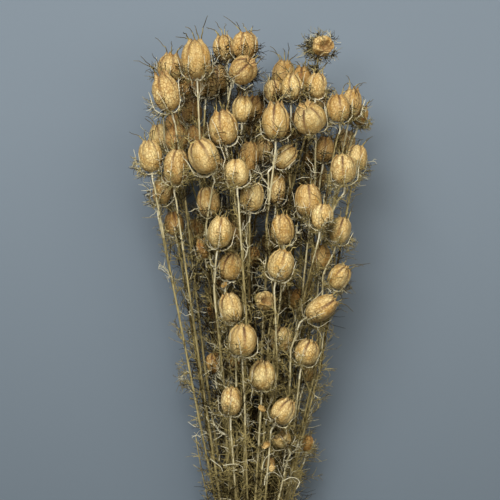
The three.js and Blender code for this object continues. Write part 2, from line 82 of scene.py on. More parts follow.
# One row for each spray, which is one stem with the pods at its tips. A pod is
# [x, y, z, width, length, lean, nod]: its middle, its size, how far its tip leans from +Y
# towards +X, and how far it nods up towards +Z, in degrees. The first pod ends the main stem.
SPRAYS = [
  # Pods on the upper face, from the top of the bunch to its foot
  [[-43, 352, 90, 25, 30, -3, 8], [-34, 336, 60, 19, 22, 4, 0]],
  [[-67, 325, 84, 22, 29, -16, 6]],
  [[-64, 347, 66, 20, 22, 6, 0], [-59, 290, 58, 19, 21, -6, 0]],
  [[-20, 362, 70, 18, 21, -8, 0], [-46, 292, 48, 17, 21, -5, 0]],
  [[-6, 362, 80, 21, 22, 2, 5], [-6, 313, 80, 18, 21, 3, 5]],
  [[-5, 342, 95, 22, 24, 44, 46]],
  [[6, 315, 62, 17, 21, 8, 0], [10, 280, 60, 17, 22, 5, 0]],
  [[-21, 295, 92, 22, 27, -8, 6]],
  [[-79, 275, 72, 20, 26, -6, 4], [-70, 249, 64, 17, 24, 12, 0]],
  [[-58, 267, 86, 21, 29, 5, 8]],
  [[-35, 276, 96, 26, 28, -24, 10]],
  [[-9, 261, 93, 20, 22, -2, -14]],
  [[-1, 274, 78, 18, 26, 6, 0], [-10, 211, 60, 16, 22, 0, 0]],
  [[-1, 245, 84, 20, 24, 6, 6]],
  [[-33, 239, 78, 18, 25, -5, 4]],
  [[-24, 214, 89, 20, 25, 8, 5], [-38, 201, 72, 12, 16, -12, 0]],
  [[-62, 222, 50, 16, 20, -8, 0], [-45, 215, 13, 18, 22, -6, 0]],
  [[-16, 184, 80, 20, 22, 14, 10]],
  [[24, 190, 90, 21, 24, 16, 8]],
  [[26, 215, 87, 19, 24, -4, 14]],
  [[-14, 156, 82, 19, 24, -12, 14]],
  [[13, 160, 76, 17, 18, 10, 50], [0, 195, 58, 13, 16, 4, 0]],
  [[-7, 130, 88, 23, 25, 1, 10]],
  [[46, 118, 66, 20, 21, 18, 10], [47, 101, 46, 15, 17, 14, 0]],
  [[57, 153, 76, 20, 27, 56, 10]],
  [[72, 179, 66, 19, 21, 34, 20], [38, 160, 52, 14, 18, 10, 0]],
  [[72, 216, 72, 18, 22, 16, 8], [58, 194, 62, 16, 21, 5, 4]],
  [[47, 240, 78, 21, 27, -3, 6], [57, 227, 93, 17, 21, 8, 6]],
  [[86, 274, 68, 18, 23, 8, 0], [74, 265, 85, 20, 24, -4, 12]],
  [[28, 275, 78, 16, 21, 48, 4], [22, 249, 64, 15, 24, 5, 0]],
  [[21, 302, 95, 23, 27, 0, 4]],
  [[48, 305, 92, 25, 26, -20, 42]],
  [[58, 363, 80, 18, 18, 24, 60]],
  [[33, 329, 86, 18, 20, 2, 4], [17, 328, 66, 15, 18, -4, 0]],
  [[42, 337, 66, 18, 21, 4, 0], [55, 332, 84, 17, 20, 6, 4]],
  [[68, 313, 84, 18, 22, -4, 8]],
  [[81, 318, 70, 17, 23, 8, 4], [90, 309, 54, 13, 16, 16, 0]],
  [[60, 281, 66, 16, 20, 6, 0], [50, 273, 52, 13, 16, 2, 0]],
  [[-29, 151, 50, 12, 15, -6, 0], [-25, 168, 12, 17, 20, -4, 0]],
  [[27, 128, 54, 19, 21, 8, 0]],
  [[-14, 108, 52, 14, 18, 4, 0], [-29, 108, 46, 14, 17, -4, 0]],
  [[10, 100, 81, 22, 23, 3, 12]],
  [[-15, 79, 77, 18, 23, 2, 6]],
  [[26, 69, 71, 20, 22, 32, 8]],
  [[26, 50, 64, 17, 17, -30, 12], [16, 26, 54, 8, 12, 10, 0]],
  [[47, 41, 34, 11, 14, 8, 0]],
  # Pods inside the bunch and on its under face
  [[-74, 292, 38, 18, 22, -12, 0], [-62, 258, 14, 19, 23, -8, 0]],
  [[-48, 314, 36, 18, 22, -8, 0], [-66, 300, 12, 19, 23, -10, 0]],
  [[-4, 350, 42, 18, 22, 2, 0], [-28, 342, 13, 20, 24, -4, 0]],
  [[-20, 264, 40, 18, 22, -3, 0], [-32, 296, 13, 18, 22, -6, 0]],
  [[35, 302, 40, 18, 22, 5, 0], [4, 306, 13, 19, 23, 0, 0]],
  [[78, 288, 38, 18, 22, 14, 0], [56, 262, 13, 18, 22, 8, 0]],
  [[-50, 336, 13, 19, 23, -6, 0]],
  [[28, 346, 14, 20, 24, 4, 0]],
  [[56, 328, 13, 19, 23, 10, 0]],
  [[22, 262, 13, 18, 22, 2, 0]],
  [[-8, 224, 13, 18, 22, 0, 0], [18, 208, 13, 16, 20, 6, 0]],
  [[30, 158, 12, 17, 20, 8, 0]],
]

# Shares that step round by this spread evenly
GOLDEN = 0.618034
rng = np.random.default_rng(4127)


def draw(low=0.0, high=1.0):
    """A random number between the two."""
    return float(rng.uniform(low, high))


def unit(vector):
    return vector / max(np.linalg.norm(vector), 1e-9)


# Where the pods sit: the rows above, eased apart mostly up and down until none touch

ON_SURFACE_Z = 15
POD_PASSES = 260
POD_GAP = 2.6
SIDE_EASE = 0.3
PUSH = 0.45
NEAR_PODS = 95
NECK_CLEARANCE = 1.2
LEAST_DISTANCE = 0.01


class Pod:
    """One pod, by its spray, its branch, its place, its axis towards the styles and its size."""

    def __init__(self, spray, branch, row):
        x, y, z, self.width, self.length, lean, nod = row
        lean, nod = math.radians(lean), math.radians(nod)
        self.spray, self.branch = spray, branch
        self.on_surface = z < ON_SURFACE_Z
        self.middle = np.array([x, y, self.width / 2 if self.on_surface else z], float)
        flat = math.cos(nod)
        self.axis = np.array([math.sin(lean) * flat, math.cos(lean) * flat, math.sin(nod)])

    def balls(self):
        """The pod and the top of its stem as a row of balls: [distance along the axis, radius]."""
        reach = max((self.length - self.width) / 2, 0) + 0.5
        half = self.width / 2
        neck = [[-self.length / 2 - NECK_LENGTH * k, NECK_CLEARANCE] for k in (1, 2)]
        body = [[-reach, half], [0, half], [reach, half]]
        styles = [0.72 * self.length, 0.4 * self.width]
        return body + [styles] + neck

    def base(self):
        return self.middle - self.axis * self.length / 2

    def neck(self):
        return self.base() - self.axis * NECK_LENGTH

    def across(self):
        """Two directions square to the pod's axis, the first of them upward."""
        up = np.array([0.0, 0.0, 1.0])
        first = unit(up - self.axis * (up @ self.axis))
        return first, np.cross(self.axis, first)

    def point(self, angle, radius_share, length_share):
        """A place round the pod, by shares of its radius and length."""
        u, v = self.across()
        ring = math.cos(angle) * u + math.sin(angle) * v
        along = self.axis * (length_share * self.length)
        return self.base() + along + ring * (radius_share * self.width / 2)


def ease_pods_apart(pods):
    balls = np.array([pod.balls() for pod in pods])
    count, each = balls.shape[:2]
    owner = np.repeat(np.arange(count), each)
    along, radius = balls[..., 0].ravel(), balls[..., 1].ravel()
    middle = np.array([pod.middle for pod in pods])
    axis = np.array([pod.axis for pod in pods])
    far = np.linalg.norm(middle[:, None] - middle[None], axis=2)
    first, second = np.nonzero(far[np.ix_(owner, owner)] < NEAR_PODS)
    keep = owner[first] < owner[second]
    first, second = first[keep], second[keep]
    least = radius[first] + radius[second] + POD_GAP
    free = np.array([not pod.on_surface for pod in pods])
    floor = np.array([pod.width / 2 for pod in pods])
    for _ in range(POD_PASSES):
        centre = middle[owner] + axis[owner] * along[:, None]
        apart = centre[first] - centre[second]
        distance = np.linalg.norm(apart, axis=1)
        close = distance < least
        step = apart[close]
        step *= (PUSH * (least[close] - distance[close]) / (3 * distance[close]))[:, None]
        moves = np.zeros((count, 3))
        np.add.at(moves, owner[first[close]], step)
        np.add.at(moves, owner[second[close]], -step)
        middle[:, :2] += moves[:, :2] * SIDE_EASE
        raised = np.maximum(middle[:, 2] + moves[:, 2], floor)
        middle[:, 2] = np.where(free, raised, middle[:, 2])
    for pod, place in zip(pods, middle):
        pod.middle = place


# Where the stems run. A strand is the stem below one pod, followed at level stations along Y.

STATION_FIRST_Y = -150
STATION_STEP = 10
STATIONS = 53
SEAT_PASSES = 300
STRAND_PASSES = 480
# How strongly a strand is smoothed: [until this share of the passes, strength]
SMOOTHING = [(0.7, 0.3), (0.88, 0.06), (1, 0.01)]
SEAT_PUSH = 0.4
BALL_PUSH = 0.5
STRAND_GAP = 3.7
PASSING_GAP = 3.6
FORK_DROP = 62
FORK_RELEASE = 30
# How far below its neck a strand's last station is at least, and how far it runs into its pod
LAST_STATION_GAP = 3
STEM_INSET = 2
FLOOR_GAP = 1.9
LAY_RISE = 0.1
# The bunch's half width and half depth at the tie, and how fast they grow towards its pods
HALF_WIDTH, WIDENING = 17, 0.215
HALF_DEPTH, DEEPENING = 17, 0.1
MIDLINE_Z = TIE_INNER_RADIUS + TIE_WALL
TIE_STATION = round((TIE_Y - STATION_FIRST_Y) / STATION_STEP)
STATION_Y = STATION_FIRST_Y + STATION_STEP * np.arange(STATIONS)


def shorten(seat, longest):
    length = math.hypot(*seat)
    return seat * (longest / length) if length > longest else seat


def tie_seats(pods):
    """Each stem's seat inside the tie, laid out as its pod lies in the bunch, then eased apart."""
    seats = []
    for pod in pods:
        rise = pod.middle[1] - TIE_Y
        midline = MIDLINE_Z + LAY_RISE * max(rise, 0)
        across = pod.middle[0] / (HALF_WIDTH + WIDENING * rise)
        up = (pod.middle[2] - midline) / (HALF_DEPTH + DEEPENING * rise)
        seats.append(shorten(np.array([across, up]) * BUNDLE_RADIUS, 0.95 * BUNDLE_RADIUS))
    mains = [i for i, pod in enumerate(pods) if pod.branch == 0]
    for _ in range(SEAT_PASSES):
        for i in mains:
            for j in mains:
                if i == j:
                    continue
                apart = seats[i] - seats[j]
                distance = max(math.hypot(*apart), LEAST_DISTANCE)
                if distance < STRAND_GAP:
                    apart = apart * (SEAT_PUSH * (STRAND_GAP - distance) / distance)
                    seats[i] = seats[i] + apart
                    seats[j] = seats[j] - apart
        for i in mains:
            seats[i] = shorten(seats[i], BUNDLE_RADIUS)
    main_of = {pods[i].spray: i for i in mains}
    return [seats[main_of[pod.spray]] for pod in pods]


class Strands:
    """All the strands' places at the stations, as arrays with a row for each strand.

    A strand runs from its first station to its top one. The parent of a side strand is the main
    strand that it forks from, and a main strand's is -1.
    """

    def __init__(self, pods):
        self.pods = pods
        seats = tie_seats(pods)
        self.necks = np.array([pod.neck() for pod in pods])
        reach = self.necks[:, 1] - LAST_STATION_GAP - STATION_FIRST_Y
        self.top = np.floor(reach / STATION_STEP).astype(int)
        self.first = np.zeros(len(pods), int)
        self.parent = np.full(len(pods), -1)
        self.x = np.zeros((len(pods), STATIONS))
        self.z = np.zeros((len(pods), STATIONS))
        flare = 1 + FLARE * np.maximum(TIE_Y - STATION_Y, 0)
        for i, ((u, v), neck) in enumerate(zip(seats, self.necks)):
            share = (STATION_Y - TIE_Y) / (neck[1] - TIE_Y)
            above = share > 0
            self.x[i] = np.where(above, u + (neck[0] - u) * share, u * flare)
            self.z[i] = MIDLINE_Z + np.where(above, v + (neck[2] - MIDLINE_Z - v) * share, v * flare)
        main_of = {pod.spray: i for i, pod in enumerate(pods) if pod.branch == 0}
        for i, pod in enumerate(pods):
            if pod.branch:
                self.parent[i] = main_of[pod.spray]
                lower = min(self.necks[i, 1], self.necks[self.parent[i], 1])
                fork = (lower - FORK_DROP - STATION_FIRST_Y) / STATION_STEP
                self.first[i] = math.floor(fork + 0.5)

    def ball_pairs(self):
        """The stations that each pod's balls reach: station, owner, x, z and clear distance."""
        rows = []
        for owner, pod in enumerate(self.pods):
            for along, radius in pod.balls():
                x, y, z = pod.middle + pod.axis * along
                beside = (radius + PASSING_GAP) ** 2 - (STATION_Y - y) ** 2
                rows += [(k, owner, x, z, math.sqrt(beside[k])) for k in np.nonzero(beside > 0)[0]]
        return np.array(rows).T

    def ease(self):
        """Ease the strands clear of each other and of every pod but their own, pass by pass."""
        count = len(self.pods)
        k = np.arange(STATIONS)
        active = (k >= self.first[:, None]) & (k <= self.top[:, None])
        shown = k <= self.top[:, None]
        last = k == self.top[:, None]
        near_tie = np.abs(k - TIE_STATION) <= 1
        station, owner, ball_x, ball_z, clear = self.ball_pairs()
        station, owner = station.astype(int), owner.astype(int)
        passes_ball = active[:, station] & (np.arange(count)[:, None] != owner)
        gather = np.zeros((len(station), STATIONS))
        gather[np.arange(len(station)), station] = 1
        a, b = np.triu_indices(count, 1)
        spray = np.array([pod.spray for pod in self.pods])
        fork = np.maximum(self.first[a], self.first[b])
        both = active[a] & active[b]
        eased = np.clip((k - fork[:, None]) * STATION_STEP / FORK_RELEASE, 0, 1)
        least = np.where((spray[a] == spray[b])[:, None], STRAND_GAP * eased, STRAND_GAP)
        pair, at = np.nonzero(both)
        a, b, least = a[pair], b[pair], least[pair, at]
        flat_a, flat_b = a * STATIONS + at, b * STATIONS + at
        for number in range(STRAND_PASSES):
            done = number / STRAND_PASSES
            smoothing = next(strength for until, strength in SMOOTHING if done < until)
            pull = np.where(k > 0, smoothing, 0)
            moves = []
            for place, neck in ((self.x, self.necks[:, 0]), (self.z, self.necks[:, 2])):
                after = np.where(last, neck[:, None], np.roll(place, -1, axis=1))
                before = np.concatenate([place[:, :1], place[:, :-1]], axis=1)
                moves.append(np.where(active, pull * ((before + after) / 2 - place), 0))
            dx = self.x[:, station] - ball_x
            dz = self.z[:, station] - ball_z
            distance = np.maximum(np.hypot(dx, dz), LEAST_DISTANCE)
            short = np.where(passes_ball, np.maximum(clear - distance, 0), 0) * BALL_PUSH / distance
            moves[0] += (short * dx) @ gather
            moves[1] += (short * dz) @ gather
            flat_x, flat_z = self.x.ravel(), self.z.ravel()
            dx = flat_x[flat_a] - flat_x[flat_b]
            near = np.nonzero(np.abs(dx) < least)[0]
            dx = dx[near]
            dz = flat_z[flat_a[near]] - flat_z[flat_b[near]]
            distance = np.maximum(np.hypot(dx, dz), LEAST_DISTANCE)
            share = PUSH * np.maximum(least[near] - distance, 0) / distance
            for move, step in ((moves[0], share * dx), (moves[1], share * dz)):
                total = np.bincount(flat_a[near], step, move.size)
                total -= np.bincount(flat_b[near], step, move.size)
                move += total.reshape(move.shape)
            self.x = np.where(shown, self.x + moves[0], self.x)
            self.z = np.where(shown, np.maximum(self.z + moves[1], FLOOR_GAP), self.z)
            self.hold_in_tie(near_tie & shown)
            self.join_forks()

    def hold_in_tie(self, held):
        """Draw the strands in to the bundle's radius at the stations that are held."""
        off = np.maximum(np.hypot(self.x, self.z - MIDLINE_Z), LEAST_DISTANCE)
        share = np.where(held, np.minimum(1, BUNDLE_RADIUS / off), 1)
        self.x = self.x * share
        self.z = MIDLINE_Z + (self.z - MIDLINE_Z) * share

    def join_forks(self):
        """Below its fork, a side strand runs where its main stem does."""
        for i in np.nonzero(self.parent >= 0)[0]:
            until = self.first[i] + 1
            self.x[i, :until] = self.x[self.parent[i], :until]
            self.z[i, :until] = self.z[self.parent[i], :until]

    def route(self, i):
        """A strand's points, from its cut end, or from its fork, to the base of its pod."""
        cut_y = CUT_END_Y - CUT_END_SPREAD * ((i * GOLDEN) % 1)
        k = np.arange(self.first[i], self.top[i] + 1)
        k = k[STATION_Y[k] >= cut_y]
        body = np.stack([self.x[i, k], STATION_Y[k], self.z[i, k]], axis=1)
        pod = self.pods[i]
        return np.vstack([body, pod.neck(), pod.base() + pod.axis * STEM_INSET])


pods = [Pod(s, b, row) for s, rows in enumerate(SPRAYS) for b, row in enumerate(rows)]
ease_pods_apart(pods)
for number, pod in enumerate(pods):
    pod.number = number
    pod.spin = math.pi / 5 if pod.on_surface else (number * GOLDEN) % 1
strands = Strands(pods)
strands.ease()

tie_low, tie_high = (np.array(corner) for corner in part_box("twine_tie"))
tie_place = np.array([0, TIE_Y, MIDLINE_Z])
SHIFT = (tie_low + tie_high) / 2 / MM - tie_place


# Finishes

def finish(name):
    """A new material, with its node tree and its Principled shader."""
    material = bpy.data.materials.new(name)
    material.use_nodes = True
    tree = material.node_tree
    return material, tree, tree.nodes["Principled BSDF"]


def feed(tree, socket, value):
    """Link a socket to another one, or give it a plain value."""
    if isinstance(value, bpy.types.NodeSocket):
        tree.links.new(value, socket)
    else:
        socket.default_value = value


def add(tree, kind, settings=None, **values):
    """A node with its settings, its inputs given by name or as i and their number."""
    node = tree.nodes.new(kind)
    for key, value in (settings or {}).items():
        setattr(node, key, value)
    for key, value in values.items():
        numbered = key[0] == "i" and key[1:].isdigit()
        feed(tree, node.inputs[int(key[1:]) if numbered else key], value)
    return node


def ramp(tree, factor, stops):
    node = add(tree, "ShaderNodeValToRGB", Fac=factor)
    elements = node.color_ramp.elements
    while len(elements) < len(stops):
        elements.new(0.5)
    for element, (place, color) in zip(elements, stops):
        element.position = place
        element.color = (*color, 1)
    return node.outputs["Color"]


def blend(tree, factor, first, second, way="MIX"):
    settings = {"data_type": "RGBA", "blend_type": way}
    return add(tree, "ShaderNodeMix", settings, i0=factor, i6=first, i7=second).outputs[2]


def math_node(tree, way, first, second, clamp=False):
    settings = {"operation": way, "use_clamp": clamp}
    return add(tree, "ShaderNodeMath", settings, i0=first, i1=second).outputs[0]


def remap(tree, value, low, high, to_low=0.0, to_high=1.0):
    """A value between low and high, carried over to between to_low and to_high."""
    limits = {"i1": low, "i2": high, "i3": to_low, "i4": to_high}
    return add(tree, "ShaderNodeMapRange", Value=value, **limits).outputs[0]


def noise(tree, place, scale, detail):
    return add(tree, "ShaderNodeTexNoise", Vector=place, Scale=scale, Detail=detail).outputs["Fac"]


def dry_fibre_group():
    """Streaks and blotches of dried plant matter: a colour between two, and a height for bump."""
    group = bpy.data.node_groups.new("dry_fibre", "ShaderNodeTree")
    sides = group.interface.new_socket
    sides("Place", in_out="INPUT", socket_type="NodeSocketVector")
    for label in ("Dark", "Light"):
        sides(label, in_out="INPUT", socket_type="NodeSocketColor")
    for label in ("Blotch scale", "Streak scale", "Contrast"):
        sides(label, in_out="INPUT", socket_type="NodeSocketFloat")
    sides("Color", in_out="OUTPUT", socket_type="NodeSocketColor")
    sides("Height", in_out="OUTPUT", socket_type="NodeSocketFloat")
    given = group.nodes.new("NodeGroupInput").outputs
    blotch = noise(group, given["Place"], given["Blotch scale"], 4.0)
    streak = noise(group, given["Place"], given["Streak scale"], 3.0)
    both = math_node(group, "ADD", blotch, streak)
    centred = math_node(group, "SUBTRACT", both, 1.0)
    spread = math_node(group, "MULTIPLY", centred, given["Contrast"])
    share = math_node(group, "ADD", spread, 0.5, clamp=True)
    result = group.nodes.new("NodeGroupOutput").inputs
    group.links.new(blend(group, share, given["Dark"], given["Light"]), result["Color"])
    group.links.new(streak, result["Height"])
    return group


FIBRE = dry_fibre_group()


def fibre(tree, place, dark, light, blotch, streak, contrast):
    """The dried fibre group at a place, between two colours: its colour and its height."""
    node = add(tree, "ShaderNodeGroup", {"node_tree": FIBRE})
    values = {"Place": place, "Dark": (*dark, 1), "Light": (*light, 1), "Blotch scale": blotch}
    values.update({"Streak scale": streak, "Contrast": contrast})
    for key, value in values.items():
        feed(tree, node.inputs[key], value)
    return node.outputs["Color"], node.outputs["Height"]


def object_place(tree, scale=(1, 1, 1)):
    place = add(tree, "ShaderNodeTexCoord").outputs["Object"]
    return add(tree, "ShaderNodeMapping", Vector=place, Scale=scale).outputs["Vector"]


def bump(tree, shader, height, strength, depth):
    node = add(tree, "ShaderNodeBump", Height=height, Strength=strength, Distance=depth)
    tree.links.new(node.outputs["Normal"], shader.inputs["Normal"])


# How fine the marks on stalks are, for each metre
STALK_BLOTCHES = 90.0
STALK_STREAKS = 900.0


def stalk_finish(name, dark, light, roughness=0.62, stretch=0.12, contrast=1.6):
    """Stems, bract ribs, threads and styles: streaked along the bunch."""
    material, tree, shader = finish(name)
    place = object_place(tree, (1, stretch, 1))
    color, height = fibre(tree, place, dark, light, STALK_BLOTCHES, STALK_STREAKS, contrast)
    tree.links.new(color, shader.inputs["Base Color"])
    shader.inputs["Roughness"].default_value = roughness
    shader.inputs["Specular IOR Level"].default_value = 0.15
    bump(tree, shader, height, 0.5, 0.0003)
    return material


def pod_finish():
    """Papery golden skin: mottled, net-veined, browner in its seams and at its crown.

    It reads the pods' marks: the height up the pod, how brown a seam is, how light the pod is,
    and how plainly its veins show. How light a pod is mixes its own random tone with painted
    shade on pods deeper in the bunch.
    """
    shade_and_tan_tint = (0.60, 0.45, 0.28, 1)
    vein_brown = (0.30, 0.145, 0.035, 1)
    seam_brown = (0.18, 0.075, 0.040, 1)
    fold_shade = (0.075, 0.035, 0.013, 1)
    tip_brown = (0.17, 0.085, 0.035, 1)
    spot_brown = (0.20, 0.09, 0.03, 1)
    material, tree, shader = finish("papery_pod")
    marks = add(tree, "ShaderNodeAttribute", {"attribute_name": "marks"})
    place = add(tree, "ShaderNodeAttribute", {"attribute_name": "pod_place"}).outputs["Vector"]
    split = add(tree, "ShaderNodeSeparateColor", Color=marks.outputs["Color"])
    height_share, seam, tone_and_shade = split.outputs
    straw, relief = fibre(tree, place, (0.57, 0.355, 0.09), (0.92, 0.785, 0.395), 0.16, 1.1, 2.1)
    # Painted shade and tan: a low tone tints the pod brown, partly as its own random tone and partly
    # as shade on pods deeper in the bunch
    shaded_and_tanned = blend(tree, 1.0, straw, shade_and_tan_tint, "MULTIPLY")
    skin = blend(tree, tone_and_shade, shaded_and_tanned, straw)
    to_edge = {"feature": "DISTANCE_TO_EDGE"}
    net = add(tree, "ShaderNodeTexVoronoi", to_edge, Vector=place, Scale=0.42).outputs["Distance"]
    vein = remap(tree, net, 0.0, 0.15, 1.0, 0.0)
    skin = blend(tree, math_node(tree, "MULTIPLY", vein, marks.outputs["Alpha"]), skin, vein_brown)
    towards_crown = remap(tree, height_share, 0.15, 0.9, 0.3, 1.0)
    skin = blend(tree, math_node(tree, "MULTIPLY", seam, towards_crown), skin, seam_brown)
    # Painted shade: under the crown the seams darken to near black, where the folds between carpels
    # run deep
    under_crown = remap(tree, height_share, 0.5, 0.92)
    skin = blend(tree, math_node(tree, "MULTIPLY", seam, under_crown), skin, fold_shade)
    skin = blend(tree, remap(tree, height_share, 0.9, 1.12, 0.0, 0.6), skin, tip_brown)
    spots = noise(tree, place, 0.9, 2.0)
    skin = blend(tree, remap(tree, spots, 0.66, 0.74, 0.0, 0.55), skin, spot_brown)
    tree.links.new(skin, shader.inputs["Base Color"])
    shader.inputs["Roughness"].default_value = 0.5
    shader.inputs["Specular IOR Level"].default_value = 0.3
    sunk_veins = math_node(tree, "MULTIPLY", vein, -0.5)
    bump(tree, shader, math_node(tree, "ADD", sunk_veins, relief), 0.8, 0.0008)
    return material


POD_SKIN = pod_finish()
STEM = stalk_finish("straw_stem", (0.10, 0.078, 0.026), (0.58, 0.495, 0.235))
PALE_STEM = stalk_finish("pale_stem_top", (0.32, 0.275, 0.13), (0.78, 0.72, 0.46))
BRACT = stalk_finish("pale_bract_rib", (0.66, 0.61, 0.38), (0.95, 0.92, 0.72))
THREAD = stalk_finish("olive_thread", (0.032, 0.020, 0.005), (0.56, 0.465, 0.19), 0.65, contrast=2.2)
# A near black brown copy of the stem finish: painted shade on stems deep in the bunch, and on a few
# at its edge at random
SHADED_STEM = stalk_finish("shaded_brown_stem", (0.022, 0.013, 0.004), (0.18, 0.13, 0.045))
# A near black copy of the thread finish: painted shade on threads deep in the bunch, and a few dark
# threads at its edge
DARK_SHADED_THREAD = stalk_finish("dark_shaded_thread", (0.006, 0.0035, 0.001), (0.052, 0.034, 0.009), 0.7)
STYLE = stalk_finish("dry_style", (0.035, 0.028, 0.014), (0.20, 0.165, 0.08), 0.6)
FINISHES = [STEM, PALE_STEM, BRACT, THREAD, DARK_SHADED_THREAD, STYLE, SHADED_STEM]
STEMS, PALES, BRACTS, THREADS, SHADED_DARKS, STYLES, SHADED_STEMS = range(len(FINISHES))


# How far out in the bunch a place is

BUNCH_HALF = 18
SPREAD_ACROSS = 0.2
SPREAD_IN_DEPTH = 0.1
MIDLINE_RISE = 0.12


def midline_z(y):
    """The height of the bunch's middle line, which rises from the tie to the pods."""
    return MIDLINE_Z + MIDLINE_RISE * (y - TIE_Y)


def forwardness(place):
    """0 on the bunch's middle line, about 1 at its front and -1 at its back."""
    return (place[2] - midline_z(place[1])) / (BUNCH_HALF + SPREAD_IN_DEPTH * (place[1] - TIE_Y))


def outwardness(place):
    """0 on the bunch's middle line, about 1 at its edge all round."""
    across = place[0] / (BUNCH_HALF + SPREAD_ACROSS * (place[1] - TIE_Y))
    return math.hypot(across, forwardness(place))


# Pods

# Each row is the share of the way from base to sunken middle, the radius and the height
POD_PROFILE = np.array([
    (0.0, 0.0, 0.0), (0.06, 0.28, 0.012), (0.12, 0.54, 0.05), (0.2, 0.79, 0.145), (0.3, 0.95, 0.30),
    (0.4, 1.0, 0.47), (0.5, 0.98, 0.63), (0.6, 0.88, 0.77), (0.68, 0.75, 0.865), (0.75, 0.59, 0.925),
    (0.8, 0.48, 0.965), (0.84, 0.41, 1.0), (0.88, 0.29, 0.955), (0.94, 0.14, 0.89), (1.0, 0.0, 0.86),
])
# The same for a pod whose top has broken away, down into its hollow
OPEN_PROFILE = np.array([
    (0.0, 0.0, 0.0), (0.1, 0.46, 0.045), (0.2, 0.8, 0.16), (0.32, 0.98, 0.36), (0.44, 1.0, 0.55),
    (0.54, 0.94, 0.7), (0.61, 0.82, 0.82), (0.65, 0.71, 0.86), (0.69, 0.66, 0.79), (0.8, 0.56, 0.56),
    (0.92, 0.32, 0.38), (1.0, 0.0, 0.33),
])
CARPELS = 5
CARPEL = 2 * math.pi / CARPELS
# The height that the crown rises from, and how far on the way up a pod its tips are
CROWN_FOOT = 0.87
CROWN_TIP = 0.83
SEAM_DEPTH = 0.14
SEAM_WIDTH = 0.14
RIB_HEIGHT = 0.015
RIB_WIDTH = 0.12
CREASE_DEPTH = 0.035
CREASE_WIDTH = 0.1
CRUMPLE = 0.014
BIG_WIDTH = 22
SMALL_WIDTH = 15
# A pod narrower than this whose row makes it as wide as it is long has lost its top
OPEN_BELOW_WIDTH = 19
# Above this the pods are seen closely enough for the finer ball
FINE_ABOVE_Z = 40
# Pods further up the bunch than this have tall crowns
TALL_CROWNS_FROM_Y = 280
# The side to which a broken pod's rim sags
BROKEN_SIDE = np.array([0.35, -0.94, 0.0])
# How far apart neighbouring pods lie in the skin's pattern, so that no two look the same
PATTERN_STEP = np.array([37.0, 11.0, 0])


def ball(columns, rows):
    """A ball to shape pods from."""
    bm = bmesh.new()
    bmesh.ops.create_uvsphere(bm, u_segments=columns, v_segments=rows, radius=1)
    mesh = bpy.data.meshes.new("ball")
    bm.to_mesh(mesh)
    bm.free()
    mesh.shade_smooth()
    return mesh


FINE_BALL, PLAIN_BALL = ball(50, 19), ball(40, 13)

# How tall each pod's crown is, how plain its veins are, and whether its top has broken away
for pod in pods:
    pod.crown = draw(0.5, 1.2) if pod.width >= BIG_WIDTH else draw(0.25, 1.1)
    pod.crown *= 1 if pod.middle[1] > TALL_CROWNS_FROM_Y else 0.5
    pod.veined = draw(0.2, 0.4) if pod.width > BIG_WIDTH else draw(0.35, 0.8)
    pod.is_open = pod.length - pod.width <= 1 and pod.width < OPEN_BELOW_WIDTH


def ball_places(mesh):
    """A ball's vertices, as one array for each of x, y and z."""
    co = np.empty(len(mesh.vertices) * 3, np.float32)
    mesh.vertices.foreach_get("co", co)
    return co.reshape(-1, 3).astype(float).T


def skinned(mesh, local, origin, skin_place, marks):
    """A ball with its vertices at their new places, and what the pods' finish reads on each."""
    place = (origin + SHIFT + local) * MM
    place[:, 2] = np.maximum(place[:, 2], 0)
    mesh.vertices.foreach_set("co", place.astype(np.float32).ravel())
    pattern = mesh.attributes.new("pod_place", "FLOAT_VECTOR", "POINT")
    pattern.data.foreach_set("vector", skin_place.astype(np.float32).ravel())
    color = mesh.attributes.new("marks", "FLOAT_COLOR", "POINT")
    color.data.foreach_set("color", marks.astype(np.float32).ravel())
    mesh.materials.append(POD_SKIN)
    mesh.update()
    return mesh


def folds(turn, climb, lobe):
    """How far the skin stands out at its ribs, seams and creases, and how brown it is there."""
    from_rib = np.abs((turn / CARPEL + 0.5) % 1 - 0.5) * CARPEL
    from_seam = 1 - from_rib / (CARPEL / 2)
    near_crown = np.clip((climb - 0.5) / 0.3, 0, 1)
    fold = rng.uniform(0.35, 1.1, CARPELS)[np.floor(turn / CARPEL).astype(int) % CARPELS]
    seam = fold * np.exp(-(from_seam / (SEAM_WIDTH + 0.1 * near_crown)) ** 2)
    rib = np.exp(-((from_rib / RIB_WIDTH) ** 2))
    swell = np.resize(rng.uniform(-0.05, 0.05, CARPELS), CARPELS + 1)
    puff = np.interp(turn % (2 * math.pi), CARPEL * np.arange(CARPELS + 1), swell)
    crease = rng.uniform(-0.1, 1.0, CARPELS)[np.floor(turn / CARPEL + 0.5).astype(int) % CARPELS]
    crease = np.clip(crease, 0, 1) * np.exp(-((from_rib / CREASE_WIDTH) ** 2))
    crease *= np.clip((climb - 0.35) / 0.4, 0, 1)
    groove = SEAM_DEPTH * (0.4 + 0.8 * fold + 0.8 * near_crown) * (1 - lobe ** 0.5)
    relief = puff - groove - CREASE_DEPTH * crease + RIB_HEIGHT * rib
    return relief, np.maximum.reduce([np.clip(seam, 0, 1), 0.12 * rib, 0.7 * crease])


